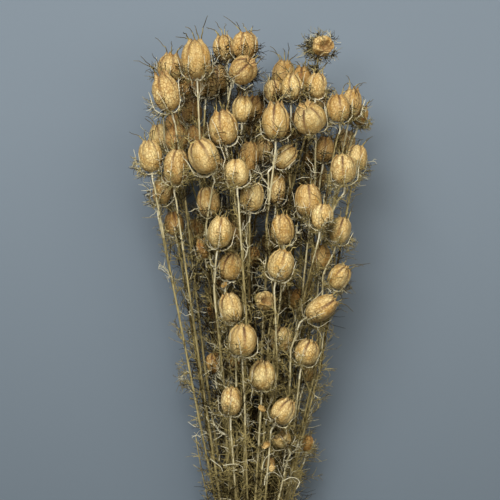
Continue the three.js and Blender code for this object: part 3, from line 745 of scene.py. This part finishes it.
def pod_mesh(pod):
    """A ball's vertices moved out to the pod's ribbed form, with marks for its finish."""
    mesh = (FINE_BALL if pod.middle[2] > FINE_ABOVE_Z else PLAIN_BALL).copy()
    x, y, z = ball_places(mesh)
    angle = np.arctan2(y, x)
    climb = 1 - np.arccos(np.clip(z, -1, 1)) / math.pi
    outline = OPEN_PROFILE if pod.is_open else POD_PROFILE
    radius = np.interp(climb, outline[:, 0], outline[:, 1])
    height = np.interp(climb, outline[:, 0], outline[:, 2])
    stretch = np.where(height > CROWN_FOOT, 0.6 + 0.4 * pod.crown, 1)
    height = CROWN_FOOT + (height - CROWN_FOOT) * stretch
    body = np.clip(climb / 0.25, 0, 1) * np.clip((0.9 - climb) / 0.1, 0, 1)
    # 1 along the middle of each carpel and 0 along the seams between them
    lobe = np.abs(np.cos(CARPELS / 2 * (angle - pod.spin)))
    relief, brown = folds(angle - pod.spin, climb, lobe)
    radius *= 1 + body * relief
    wave = rng.uniform(0, 2 * math.pi, 6)
    crumple = np.sin(3 * angle + wave[0] + 4 * height) + np.sin(2 * angle + wave[1] - 3 * height)
    crumple += 0.4 * np.sin(7 * angle + wave[4] + 9 * height)
    crumple += 0.4 * np.sin(5 * angle + wave[5] - 13 * height)
    radius *= 1 + CRUMPLE * body * crumple * (2.2 if pod.width < SMALL_WIDTH else 1)
    peak = lobe ** CARPELS * np.clip(1 - np.abs(climb - CROWN_TIP) / 0.1, 0, 1)
    radius += 0.04 * peak
    sag = np.zeros(len(x))
    if pod.is_open:
        # Painted shade: the hollow inside a broken pod takes the seams' browns, more of them further
        # down inside it
        hollow_shade = np.clip((climb - 0.7) / 0.12, 0, 1) * (0.75 + 0.25 * np.sin(3 * angle + wave[0]))
        brown = np.maximum(brown, hollow_shade)
        rim = np.clip(1 - np.abs(climb - 0.67) / 0.14, 0, 1)
        height += rim * (0.06 * np.sin(2 * angle + wave[4]) + 0.05 * np.sin(7 * angle + wave[5]))
        sag = 0.24 * pod.width * np.clip((climb - 0.45) / 0.2, 0, 1)
    else:
        height += 0.16 * pod.crown * peak
    radius *= pod.width / 2
    u, v = pod.across()
    squash = 1 + 0.05 * math.sin(wave[2])
    ring = np.outer(np.cos(angle) * squash, u) + np.outer(np.sin(angle) / squash, v)
    local = ring * radius[:, None] + np.outer(height * pod.length, pod.axis)
    local += np.outer(sag, unit(BROKEN_SIDE))
    unrolled = [np.cos(angle) * radius, np.sin(angle) * radius, height * pod.length * 0.7]
    skin_place = np.stack(unrolled, axis=1) + pod.number * PATTERN_STEP
    # A pod's tone: lower for pods deeper in the bunch as painted shade, varied at random, and lower
    # still for small pods
    front = np.clip(forwardness(pod.middle) / 0.6 + 0.15, 0, 1)
    tone_and_shade = 0.4 + 0.55 * front + 0.3 * math.sin(wave[3]) - (0.5 if pod.width < SMALL_WIDTH else 0)
    own = np.tile([np.clip(tone_and_shade, 0, 1), pod.veined], (len(x), 1))
    marks = np.column_stack([height, brown, own])
    return skinned(mesh, local, pod.base(), skin_place, marks)


# Runs: each stem, rib, thread and style is a run of points with a radius at each

def smooth(points, cuts):
    """The points with more set between them on a smooth curve through them all."""
    ends = np.vstack([2 * points[0] - points[1], points, 2 * points[-1] - points[-2]])
    out = []
    for a, b, c, d in zip(ends, ends[1:], ends[2:], ends[3:]):
        squared, cubed = 2 * a - 5 * b + 4 * c - d, 3 * b - a - 3 * c + d
        for t in np.arange(cuts) / cuts:
            out.append(0.5 * (2 * b + (c - a) * t + squared * t ** 2 + cubed * t ** 3))
    return np.vstack(out + [points[-1]])


POD_MIDDLES = np.array([pod.middle for pod in pods])
POD_AXES = np.array([pod.axis for pod in pods])
SKIN_CLEARANCE = 0.3
POD_SIZES = np.array([(pod.width / 2, pod.length / 2) for pod in pods]) + SKIN_CLEARANCE


def hits_pod(points):
    """Whether any of a run's points past its root is inside a pod."""
    away = points[1:, None] - POD_MIDDLES
    along = np.einsum("ijk,jk->ij", away, POD_AXES)
    across = np.sqrt(np.maximum((away ** 2).sum(2) - along ** 2, 0))
    return ((across / POD_SIZES[:, 0]) ** 2 + (along / POD_SIZES[:, 1]) ** 2 < 1).any()


def sideways(direction):
    """A random direction square to the given one."""
    pick = rng.normal(size=3)
    return unit(pick - direction * (pick @ direction))


# How far a thread's points stray, as a share of its length
KINK = 0.055
THREAD_FLOOR_Z = 0.6
RIB_FLOOR_Z = 0.7


def thread(start, direction, bend, length, count=4, thick=0.31, thin=0.14):
    """A fine kinked thread that starts in one direction and curls towards another."""
    share = np.linspace(0, 1, count)[:, None]
    points = start + length * (direction * (share - 0.3 * share ** 2) + bend * 0.6 * share ** 2)
    points[1:] += rng.normal(scale=KINK * length, size=(count - 1, 3))
    points[:, 2] = np.maximum(points[:, 2], THREAD_FLOOR_Z)
    return points, np.linspace(thick, thin, count)


def part_way(points, at):
    """The place a number of steps along a run of points, and the way on from there."""
    low = int(at)
    step = points[low + 1] - points[low]
    return points[low] + step * (at - low), unit(step)


def thread_kind(place):
    """Threads in the shade of the bunch are mostly dark, and those at its edge mostly olive."""
    far_out = outwardness(place)
    pale = 0.1 if far_out > 0.5 else 0.03
    # Painted shade: most threads deep in the bunch take the near black finish, and a few at its edge
    # at random
    dark = np.clip(1.3 - 1.2 * far_out, 0.14, 0.94)
    pick = draw()
    return BRACTS if pick < pale else SHADED_DARKS if pick < pale + dark else THREADS


STYLE_POINTS = 7
STYLE_KINK = 0.35
SHORT_STYLE = 0.14
SHORT_STYLE_SHARE = 0.15


def style_runs(pod):
    """Dry styles: each carries on from a tip of the crown, and curls."""
    runs = []
    tip = 0.9 + 0.18 * pod.crown
    for k in range(0 if pod.is_open else CARPELS):
        angle = pod.spin + k * CARPEL
        length = draw(0.28, 0.7) if draw() > SHORT_STYLE_SHARE else SHORT_STYLE
        out, swirl, curl = draw(0, 1.3), draw(-0.8, 0.8), draw(-0.2, 1.9)
        points = []
        for s in np.linspace(0, 1, STYLE_POINTS):
            rise = tip + length * (s - 0.28 * curl * s ** 2)
            points.append(pod.point(angle + swirl * s, 0.42 + out * s ** 1.6, rise))
        points = np.array(points)
        points[2:] += rng.normal(scale=STYLE_KINK, size=(STYLE_POINTS - 2, 3))
        radii = np.linspace(0.62, 0.22, STYLE_POINTS) * (pod.width / BIG_WIDTH) ** 0.5
        runs += [(points[:4], radii[:4], THREADS), (points[3:], radii[3:], STYLES)]
    return runs


# A bract rib from under its pod to past its middle: [share of the pod's radius, of its length]
BRACT_PATH = [
    (0.03, -0.05), (0.4, -0.07), (0.8, 0.01), (1.06, 0.19), (1.11, 0.42), (1.12, 0.63), (1.2, 0.84)
]
BRACT_RADII = np.array([0.78, 0.64, 0.54, 0.48, 0.4, 0.3, 0.2])
# How far apart the threads on a rib are, in steps of its path: pods underneath have fewer
BRACT_STEP, BRACT_STEP_UNDERNEATH = 0.3, 0.55
UNDERNEATH_Z = 45
TWIG_SHARE = 0.45


def bract_runs(pod):
    """Five pale ribs that cup the pod like a claw, and fork into fine curled threads."""
    runs = []
    size = (pod.width / BIG_WIDTH) ** 0.6
    step = BRACT_STEP if pod.middle[2] > UNDERNEATH_Z else BRACT_STEP_UNDERNEATH
    for k in range(CARPELS):
        angle = pod.spin + (k + 0.5) * CARPEL + draw(-0.3, 0.3)
        flare, reach, drift = draw(0.98, 1.12), draw(0.55, 1.0), draw(-0.5, 0.5)
        path = []
        for i, (r, h) in enumerate(BRACT_PATH):
            r *= flare if i > 2 else 1
            h *= reach if h > 0 else 1
            path.append(pod.point(angle + drift * (i / 6) ** 2, r, h))
        path = np.array(path)
        path[:, 2] = np.maximum(path[:, 2], RIB_FLOOR_Z)
        runs.append((path, BRACT_RADII * size, BRACTS))
        for at in np.arange(1.2, 4.6, step):
            start, onward = part_way(path, at)
            outward = unit(start - pod.middle - 0.7 * pod.axis * ((start - pod.middle) @ pod.axis))
            around = np.cross(onward, outward)
            for side in (-1, 1):
                lean = onward * draw(-0.4, 0.6) + around * side * draw(0.5, 1.2)
                lean = unit(lean + outward * draw(0.3, 1.2))
                bend = unit(onward * draw(-0.6, 1) + around * draw(-1, 1) + outward * draw(-0.5, 0.8))
                points, radii = thread(start, lean, bend, draw(3.5, 10.5) * size, 5)
                kind = thread_kind(start)
                runs.append((points, radii, kind))
                for twig in range(2):
                    if draw() < TWIG_SHARE:
                        branch = unit(lean + sideways(lean) * draw(0.7, 1.3))
                        root, length = points[1 + twig], draw(2.5, 6) * size
                        runs.append((*thread(root, branch, sideways(lean), length, 3, 0.26), kind))
    return runs


LEAF_RIB_THICK, LEAF_RIB_THIN = 0.4, 0.18
LEAF_THREAD_THICK = 0.3


def leaf_runs(start, along, outward, length):
    """A leaf cut into threads: a middle rib with pairs of side threads that lie along it."""
    heading = unit(along + outward * draw(0.2, 0.8))
    bend = unit(along * 0.5 + sideways(along))
    rib, radii = thread(start, heading, bend, length, 6, LEAF_RIB_THICK, LEAF_RIB_THIN)
    kind = thread_kind(start)
    far_out = outwardness(start)
    count = 4 if far_out > 0.5 else 3
    runs = [(rib, radii, kind)]
    for at in np.arange(0.6, 5.0, 0.65 if far_out > 0.4 else 0.95):
        root, onward = part_way(rib, at)
        side = sideways(onward)
        for way in (-1, 1):
            lean = unit(onward * draw(0.2, 1.4) + side * way)
            reach = draw(5, 15) * (1.15 - at / 9)
            curl = unit(onward + 1.5 * sideways(onward))
            points, thin = thread(root, lean, curl, reach, count, LEAF_THREAD_THICK)
            runs.append((points, thin, kind if draw() > 0.3 else thread_kind(start)))
    return runs


STEM_RADIUS = 1.25
NECK_RADIUS = 0.7
# How a stem swells at its last three points, under its pod
NECK_SWELL = np.array([1.0, 1.25, 1.6])
LEAF_FIRST_Y = -58
# No leaves grow this close under a pod, or this close above a fork
POD_CLEARANCE = 10
FORK_CLEARANCE = 12
# How far apart leaves grow: [below this place along the bunch, least step, longest step]
LEAF_STEPS = [(40, 8.5, 14.5), (200, 10, 17), (math.inf, 14, 26)]


def leaf_step(y):
    return next(draw(least, longest) for below, least, longest in LEAF_STEPS if y < below)


def edge_heading(start):
    """Leaves at the bunch's edge lie round it instead of standing out."""
    radial = unit(start - [0, start[1], midline_z(start[1])])
    around = np.cross(radial, [0, 1, 0])
    return unit(around * (1 if draw() < 0.5 else -1) + radial * draw(-0.5, 0.25))


def stem_runs(i):
    """A stem in three lengths, paler towards its pod, and then the leaves that grow from it."""
    route = smooth(strands.route(i), 2)
    share = np.linspace(0, 1, len(route))
    foot = STEM_RADIUS if strands.parent[i] < 0 else NECK_RADIUS + 0.2
    foot *= 0.8 + 0.3 * ((i * GOLDEN * 3) % 1)
    radii = foot + (NECK_RADIUS - foot) * share ** 1.2
    radii = radii * (1 + 0.06 * np.sin(np.arange(len(route)) * 1.7 + i))
    radii[-3:] = NECK_RADIUS * NECK_SWELL
    # The points, counted back from the pod, where the stem turns pale and then cream
    pale, cream = (-13, -4) if len(route) > 24 else (-7, -4)
    # Painted shade: a shaded stem takes the near black brown finish low down and plain straw where
    # others turn pale
    shaded = draw() < (0.6 if outwardness(route[len(route) // 2]) < 0.55 else 0.2)
    runs = [
        (route[:pale + 1], radii[:pale + 1], SHADED_STEMS if shaded else STEMS),
        (route[pale:cream + 1], radii[pale:cream + 1], STEMS if shaded else PALES),
        (route[cream:], radii[cream:], BRACTS),
    ]
    travelled = np.concatenate([[0], np.cumsum(np.linalg.norm(np.diff(route, axis=0), axis=1))])
    at = draw(3, 12)
    while at < travelled[-1] - POD_CLEARANCE:
        k = int(np.searchsorted(travelled, at))
        start = route[k]
        if start[1] > LEAF_FIRST_Y and (strands.parent[i] < 0 or at > FORK_CLEARANCE):
            onward = unit(route[min(k + 1, len(route) - 1)] - route[k - 1])
            outward = sideways(onward)
            if outwardness(start) > 0.45:
                outward = edge_heading(start)
            runs += leaf_runs(start, onward, outward, draw(15, 34))
        at += leaf_step(start[1])
    return runs


STEM_SIDES = 6
FINE_SIDES = 3
PROFILES = {}
# What a run keeps clear of the surface, past its own radius
RUN_CLEARANCE = 0.1


def profile(sides):
    """A flat outline with the given number of sides, to sweep along the runs."""
    if sides not in PROFILES:
        curve = bpy.data.curves.new("outline", "CURVE")
        curve.dimensions = "2D"
        spline = curve.splines.new("POLY")
        spline.points.add(sides - 1)
        for n, corner in enumerate(spline.points):
            turn = 2 * math.pi * n / sides
            corner.co = (math.cos(turn), math.sin(turn), 0, 1)
        spline.use_cyclic_u = True
        PROFILES[sides] = bpy.data.objects.new("outline", curve)
        bpy.context.collection.objects.link(PROFILES[sides])
    return PROFILES[sides]


def swept(runs, sides, finishes):
    """One mesh with a closed tapered tube along each run: [points, radii, number of its finish]."""
    curve = bpy.data.curves.new("runs", "CURVE")
    curve.dimensions = "3D"
    curve.bevel_mode = "OBJECT"
    curve.bevel_object = profile(sides)
    curve.use_fill_caps = True
    for finish_used in finishes:
        curve.materials.append(finish_used)
    for points, radii, kind in runs:
        spline = curve.splines.new("POLY")
        spline.points.add(len(points) - 1)
        place = np.hstack([(points + SHIFT) * MM, np.ones((len(points), 1))])
        place[:, 2] = np.maximum(place[:, 2], (np.asarray(radii) + RUN_CLEARANCE) * MM)
        spline.points.foreach_set("co", place.ravel())
        spline.points.foreach_set("radius", np.asarray(radii, float) * MM)
        spline.material_index = kind
        spline.use_smooth = True
    made = bpy.data.objects.new("runs", curve)
    bpy.context.collection.objects.link(made)
    depsgraph = bpy.context.evaluated_depsgraph_get()
    mesh = bpy.data.meshes.new_from_object(made.evaluated_get(depsgraph))
    bpy.data.objects.remove(made)
    bpy.data.curves.remove(curve)
    return mesh


def as_piece(name, meshes):
    """One piece joined from the given meshes, on the bunch's one body."""
    made = []
    for mesh in meshes:
        made.append(bpy.data.objects.new(name, mesh))
        bpy.context.collection.objects.link(made[-1])
    bpy.ops.object.select_all(action="DESELECT")
    for part in made:
        part.select_set(True)
    bpy.context.view_layer.objects.active = made[0]
    if len(made) > 1:
        bpy.ops.object.join()
    piece = bpy.context.view_layer.objects.active
    piece.name = name
    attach(piece, "root")
    return piece


def outward_mesh(mesh):
    """The mesh with all its faces turned outwards."""
    bm = bmesh.new()
    bm.from_mesh(mesh)
    bmesh.ops.recalc_face_normals(bm, faces=bm.faces)
    bm.to_mesh(mesh)
    bm.free()
    return mesh


# What stands out at the bunch's edges and lies on its front, in the layout's millimetres

# Tufts of threads: [where one grows from, which way it points, its length, its threads]
TUFTS = [
    [(-52, 92, 50), (-1, 0.45, 0.2), 17, 12],
    [(-47, 100, 56), (-1, -0.05, 0.3), 15, 9],
    [(44, 88, 46), (1, 0.1, 0.1), 24, 16],
    [(40, 70, 50), (1, -0.5, 0.2), 14, 10],
    [(36, 22, 44), (1, -0.35, 0.3), 17, 16],
    [(30, 12, 46), (0.8, -0.6, 0.5), 15, 10],
    [(-20, 20, 60), (0.2, 0.6, 0.5), 14, 10],
    [(54, 366, 76), (-1, 0.3, 0.2), 22, 34],
    [(54, 362, 76), (-1, -0.5, 0.2), 19, 22],
    [(56, 364, 78), (-0.4, 1, 0.2), 18, 26],
    [(52, 350, 74), (-0.6, -1, 0.3), 20, 30],
    [(60, 354, 76), (0.8, -0.6, 0.3), 13, 14],
]
# A snapped straw that stands off the foot of the bunch
STRAW = np.array([
    (-12, -132, 24), (-15, -80, 22), (-27, -40, 27), (-36, 0, 33), (-41.5, 28, 38), (-44.5, 47, 41)
], float)
# Pale broken curls that lie on the stems at the foot, each a row of [x, y]
CURLS = [
    [(11.5, 10), (13, 18), (19, 20.5), (24.5, 17)],
    [(27, 13.5), (32, 16), (37.5, 15.5), (40, 12), (37.5, 7)],
    [(9.5, 23), (11, 29.5), (14, 34), (18.5, 36.5)],
    [(-21.5, 26.5), (-15, 27.5), (-8.5, 27.5)],
    [(-32, 32), (-28, 29), (-23.5, 25.5), (-22, 22)],
]
# The height from which the stems under a curl are looked for, and how far it lies above them
CURL_FROM_Z = 75
CURL_LIFT = 2.5
# Flakes of broken husk caught in the threads: [x, y, size, turn]
FLAKES = [[9.6, 73, 2.3, 0.6], [12.8, 43, 2.7, 1.9], [17.6, 24, 2.1, 0.2], [-20.8, 172, 1.9, 2.4]]
# A flake lies this far above the highest stem within its reach
FLAKE_LIFT = 2.2
FLAKE_REACH = 7
# What the pods' finish reads on a flake: its height, brown, tone with painted shade, and veins
FLAKE_MARKS = [0.4, 0.0, 0.45, 0.5]
TUFT_STRAW_SHARE = 0.45

ROUTES = [strands.route(i) for i in range(len(pods))]
ROUTE_POINTS = np.vstack(ROUTES)
ROUTE_SPRAYS = np.concatenate([np.full(len(route), pod.spray) for route, pod in zip(ROUTES, pods)])


def nearest_stem(place):
    """The point on a stem nearest to a place, and the stem's spray."""
    k = int(np.argmin(((ROUTE_POINTS - place) ** 2).sum(axis=1)))
    return ROUTE_POINTS[k], int(ROUTE_SPRAYS[k])


def tuft_runs(root, way, length, count):
    """Threads that spread from one root, each with three side threads."""
    runs = []
    way = unit(np.array(way, float))
    for _ in range(count):
        heading = unit(way + 0.7 * sideways(way) * draw())
        curl = unit(sideways(heading) + heading * draw(-0.6, 0.5))
        points, radii = thread(root, heading, curl, length * draw(0.55, 1.1), 6, 0.3)
        kind = STEMS if draw() < TUFT_STRAW_SHARE else thread_kind(root)
        runs.append((points, radii, kind))
        for k in (2, 3, 4):
            lean = unit(heading + 1.2 * sideways(heading))
            runs.append((*thread(points[k], lean, sideways(lean), draw(3, 7), 3, 0.27), kind))
    return runs


def flake_mesh(x, y, size, turn):
    """A thin curved scrap of pod that lies on the stems under it, and the spray it is caught in."""
    mesh = PLAIN_BALL.copy()
    u, v, w = ball_places(mesh)
    around = np.arctan2(v, u)
    ragged = 1 + 0.12 * np.sin(2 * around + turn * 5) + 0.07 * np.sin(5 * around + turn)
    beside = np.abs(ROUTE_POINTS[:, :2] - [x, y]) < FLAKE_REACH
    rest = ROUTE_POINTS[beside.all(axis=1), 2].max() + FLAKE_LIFT
    local = np.stack([u * ragged * size, v * ragged * size * 1.5, w * 0.25], axis=1)
    local[:, 2] += 0.07 * local[:, 0] ** 2 - 0.03 * local[:, 1] ** 2
    cos, sin = math.cos(turn), math.sin(turn)
    local = local @ np.array([[cos, sin, 0], [-sin, cos, 0], [0, 0, 1]])
    marks = np.tile(FLAKE_MARKS, (len(u), 1))
    skinned(mesh, local, np.array([x, y, rest]), local + [turn * 50, 0, 0], marks)
    return mesh, nearest_stem((x, y, rest))[1]


extra_runs = {spray: [] for spray in range(len(SPRAYS))}
for place, way, length, count in TUFTS:
    root, spray = nearest_stem(place)
    extra_runs[spray] += tuft_runs(root, way, length, count)
straw = smooth(STRAW, 6)
extra_runs[nearest_stem(STRAW[1])[1]].append((straw, np.linspace(0.85, 0.55, len(straw)), STEMS))
for row in CURLS:
    under = [nearest_stem((x, y, CURL_FROM_Z)) for x, y in row]
    spray = under[0][1]
    rest = max(point[2] for point, _ in under) + CURL_LIFT
    curl = smooth(np.array([(x, y, rest) for x, y in row]), 4)
    extra_runs[spray].append((curl, np.linspace(0.55, 0.25, len(curl)), BRACTS))
flakes = [flake_mesh(*row) for row in FLAKES]

for spray in range(len(SPRAYS)):
    members = [pod for pod in pods if pod.spray == spray]
    stems, fine = [], []
    for pod in members:
        grown = stem_runs(pod.number)
        stems += grown[:3]
        fine += grown[3:] + style_runs(pod) + bract_runs(pod)
    # Threads that would run into a pod are left out, and the ribs that cup one stay
    kept = [run for run in fine if len(run[0]) == len(BRACT_PATH) or not hits_pod(run[0])]
    meshes = [pod_mesh(pod) for pod in members]
    meshes += [mesh for mesh, owner in flakes if owner == spray]
    meshes.append(outward_mesh(swept(stems, STEM_SIDES, FINISHES)))
    meshes.append(outward_mesh(swept(kept + extra_runs[spray], FINE_SIDES, FINISHES)))
    name = "spray_%02d" % (spray + 1)
    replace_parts(as_piece("dried_" + name, meshes), name)


# The tie: turns of two-ply twine with a small knot on top

# A ply's radius, how far it lies from the twine's middle, and the length of one twist
PLY_RADIUS = 0.64
PLY_OFFSET = 0.55
PLY_PITCH = 6.0
PLY_STEP = 0.6
TWINE_TURNS = 3.2
TWINE_PITCH = 2.4


def twine_route():
    """The twine's turns round the stems, which start and end at the top."""
    share = np.linspace(0, 1, 140)
    turn = math.pi / 2 + 2 * math.pi * TWINE_TURNS * (share - 0.5)
    radius = TIE_INNER_RADIUS + TIE_WALL / 2
    across = np.cos(turn) * radius
    rise = MIDLINE_Z + np.sin(turn) * radius
    along = TIE_Y + TWINE_PITCH * TWINE_TURNS * (share - 0.5)
    return np.stack([across, along, rise], axis=1)


def plies(route):
    """The two twisted plies of a twine that follows a route."""
    steps = np.concatenate([[0], np.cumsum(np.linalg.norm(np.diff(route, axis=0), axis=1))])
    at = np.arange(0, steps[-1], PLY_STEP)
    middle = np.stack([np.interp(at, steps, route[:, n]) for n in range(3)], axis=1)
    onward = np.gradient(middle, axis=0)
    onward /= np.linalg.norm(onward, axis=1)[:, None]
    side = np.zeros_like(onward)
    first = sideways(onward[0])
    for k, ahead in enumerate(onward):
        first = unit(first - ahead * (first @ ahead))
        side[k] = first
    other = np.cross(onward, side)
    made = []
    for ply in range(2):
        turn = 2 * math.pi * at / PLY_PITCH + math.pi * ply
        ring = np.cos(turn)[:, None] * side + np.sin(turn)[:, None] * other
        made.append((middle + PLY_OFFSET * ring, np.full(len(at), PLY_RADIUS), 0))
    return made


# The knot's height above the turns' inside, and its loop's size across, along and upwards
KNOT_RISE = 3.4
LOOP_ACROSS, LOOP_ALONG, LOOP_UP = 1.84, 1.38, 1.3


def knot_routes():
    """A small overhand knot with two loose tails, lying on top of the turns."""
    top = MIDLINE_Z + TIE_INNER_RADIUS + KNOT_RISE
    t = np.linspace(0, 2 * math.pi, 60, endpoint=False)[4:-3]
    loop = np.stack([
        LOOP_ACROSS * (np.sin(t) + 2 * np.sin(2 * t)),
        TIE_Y + LOOP_ALONG * (np.cos(t) - 2 * np.cos(2 * t)),
        top - LOOP_UP * np.sin(3 * t),
    ], axis=1)
    routes = [loop]
    for side in (-1, 1):
        tail = [(2, 0, 0), (7, 2.5, 0.6), (13, 5 + side, -2.2), (17, 12 + 2 * side, -6.5)]
        tail = np.array([(side * x, TIE_Y + y, top + z) for x, y, z in tail])
        routes.append(smooth(tail, 6))
    return routes


def twine_finish():
    material, tree, shader = finish("jute_twine")
    place = object_place(tree)
    color, height = fibre(tree, place, (0.20, 0.125, 0.05), (0.56, 0.41, 0.22), 160.0, 1400.0, 2.0)
    tree.links.new(color, shader.inputs["Base Color"])
    shader.inputs["Roughness"].default_value = 0.85
    bump(tree, shader, height, 0.8, 0.0004)
    return material


TWINE = twine_finish()
twine_runs = plies(twine_route())
for route in knot_routes():
    twine_runs += plies(route)
tie = as_piece("twine_tie_wound", [outward_mesh(swept(twine_runs, STEM_SIDES, [TWINE]))])
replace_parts(tie, "twine_tie")

for outline in PROFILES.values():
    bpy.data.objects.remove(outline)


# The floor, lights and camera

FLOOR_HALF = 4
FLOOR_DROP = 0.0005


def floor_sheet():
    """A plain blue grey sheet, a little lighter towards the top of the view."""
    bm = bmesh.new()
    bmesh.ops.create_grid(bm, x_segments=1, y_segments=1, size=FLOOR_HALF)
    bmesh.ops.translate(bm, vec=(0, 0, -FLOOR_DROP), verts=bm.verts)
    mesh = bpy.data.meshes.new("floor")
    bm.to_mesh(mesh)
    bm.free()
    floor = bpy.data.objects.new("floor", mesh)
    bpy.context.collection.objects.link(floor)
    material, tree, shader = finish("pale_floor")
    place = add(tree, "ShaderNodeSeparateXYZ", Vector=object_place(tree)).outputs["Y"]
    # Painted light: the sheet is darker towards the bottom of the view, as a fall-off of light
    rise = remap(tree, place, -0.2, 0.2)
    painted_light_falloff = ramp(tree, rise, [(0.0, (0.122, 0.160, 0.201)), (1.0, (0.166, 0.211, 0.262))])
    tree.links.new(painted_light_falloff, shader.inputs["Base Color"])
    shader.inputs["Roughness"].default_value = 0.9
    mesh.materials.append(material)


floor_sheet()

VIEW_MIDDLE = (np.array([0, 200, 80]) + SHIFT) * MM
VIEW_WIDTH = 0.4
CAMERA_DISTANCE = 1.6
SENSOR_WIDTH = 36


def lamp(name, place, size, power, color):
    """A soft square light at a place seen from the view's middle, and turned towards it."""
    data = bpy.data.lights.new(name, "AREA")
    data.shape = "SQUARE"
    data.size = size
    data.energy = power
    data.color = color
    light = bpy.data.objects.new(name, data)
    light.location = Vector(VIEW_MIDDLE) + Vector(place)
    light.rotation_mode = "QUATERNION"
    light.rotation_quaternion = (-Vector(place)).to_track_quat("-Z", "Y")
    bpy.context.collection.objects.link(light)


lamp("key", (-0.45, 0.95, 1.6), 1.4, 49, (1.0, 0.97, 0.92))
lamp("fill", (0.8, 0.4, 1.5), 1.6, 17, (1.0, 0.93, 0.82))

world = bpy.data.worlds.new("studio")
world.use_nodes = True
background = world.node_tree.nodes["Background"].inputs
background["Color"].default_value = (1.0, 0.94, 0.86, 1)
background["Strength"].default_value = 0.035
bpy.context.scene.world = world

camera_data = bpy.data.cameras.new("camera")
camera_data.sensor_width = SENSOR_WIDTH
camera_data.lens = SENSOR_WIDTH * CAMERA_DISTANCE / VIEW_WIDTH
camera_data.clip_end = 20
camera = bpy.data.objects.new("camera", camera_data)
camera.location = (VIEW_MIDDLE[0], VIEW_MIDDLE[1], VIEW_MIDDLE[2] + CAMERA_DISTANCE)
bpy.context.collection.objects.link(camera)
bpy.context.scene.camera = camera
bpy.context.scene.view_settings.view_transform = "Standard"
